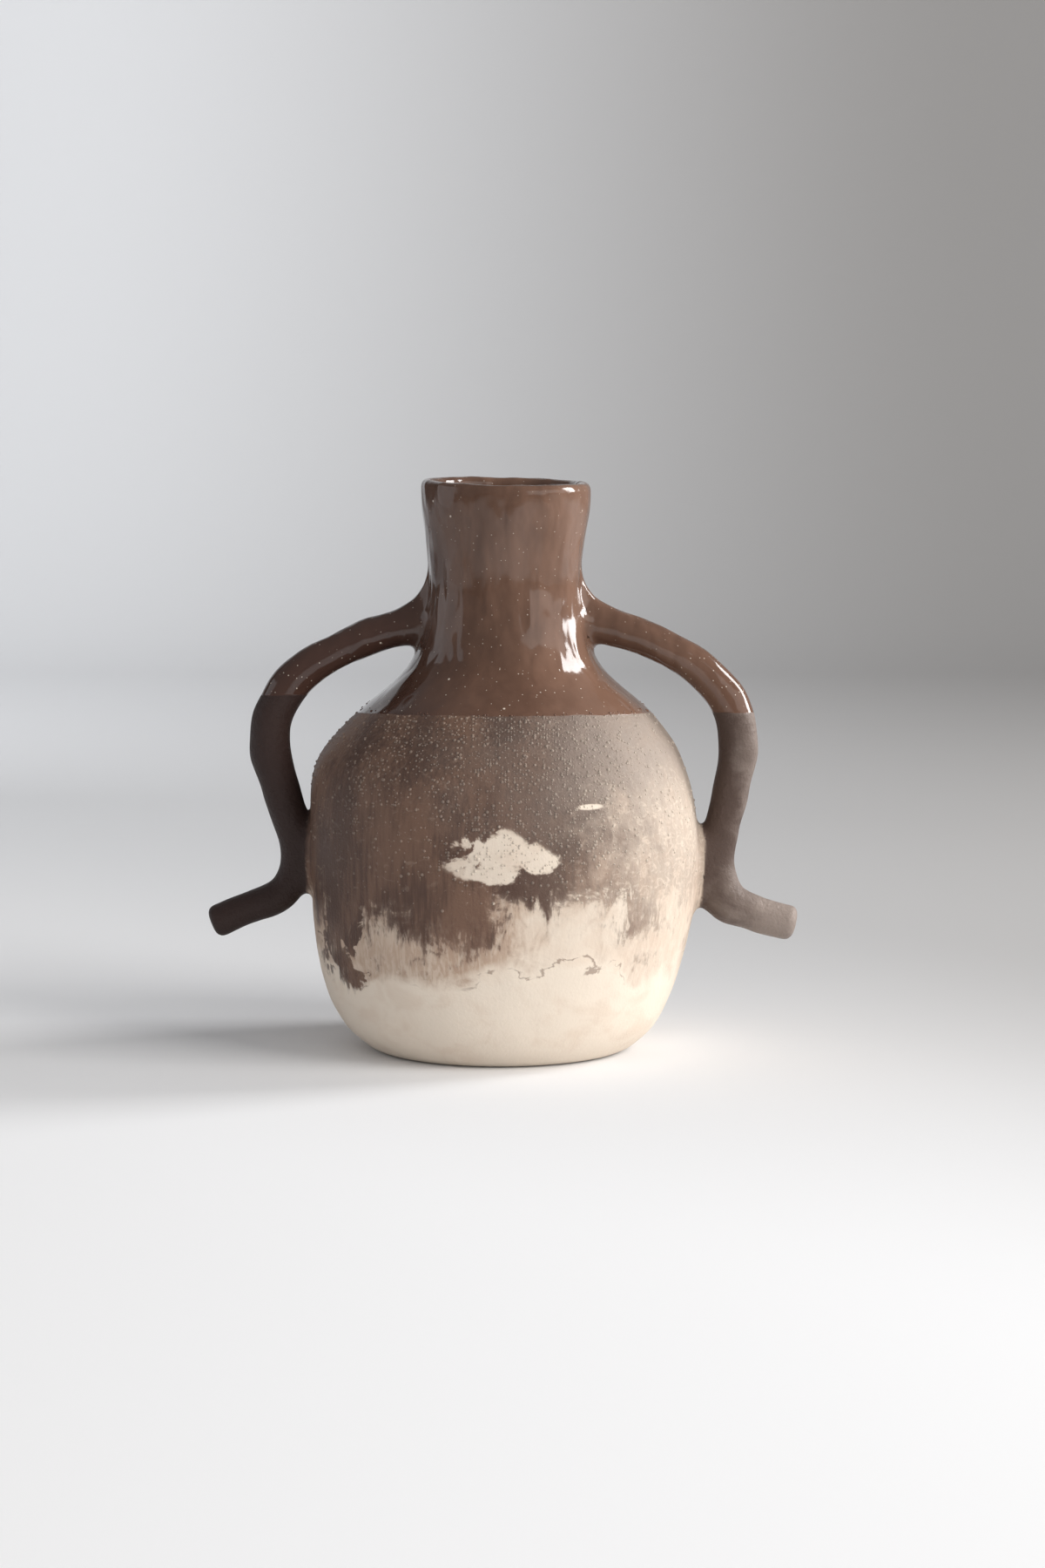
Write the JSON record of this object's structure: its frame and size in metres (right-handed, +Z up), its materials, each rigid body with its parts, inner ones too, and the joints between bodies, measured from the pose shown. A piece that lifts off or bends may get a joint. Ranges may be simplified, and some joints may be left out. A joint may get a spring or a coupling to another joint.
{
  "type": "two-handled ceramic vase",
  "caption": "Hand-built round-bellied vase with a short flared neck and coil handles that arch from neck to belly and end in free tails.",
  "frame": {"origin": "centre of the vase's footprint, on the surface that the foot stands on", "axes": "+Z up along the vase's axis, +X towards the right handle, +Y away from the viewer of the picture"},
  "size_m": [0.2292, 0.1506, 0.22],
  "materials": {
    "bare_clay": "unglazed cream stoneware, matte",
    "brown_slip": "brushed brown slip over sandy clay, matte",
    "brown_glaze": "glossy brown dipped glaze"
  },
  "bodies": {
    "root": {"base_slab": "bare_clay", "lower_wall": "bare_clay", "belly_wall": "brown_slip", "shoulder_wall": "brown_slip", "neck_collar": "brown_glaze", "rim_coil": "brown_glaze", "left_handle": "brown_slip", "left_neck_fillet": "brown_glaze", "left_belly_fillet": "brown_slip", "right_handle": "brown_slip", "right_neck_fillet": "brown_glaze", "right_belly_fillet": "brown_slip"}
  },
  "joints": []
}
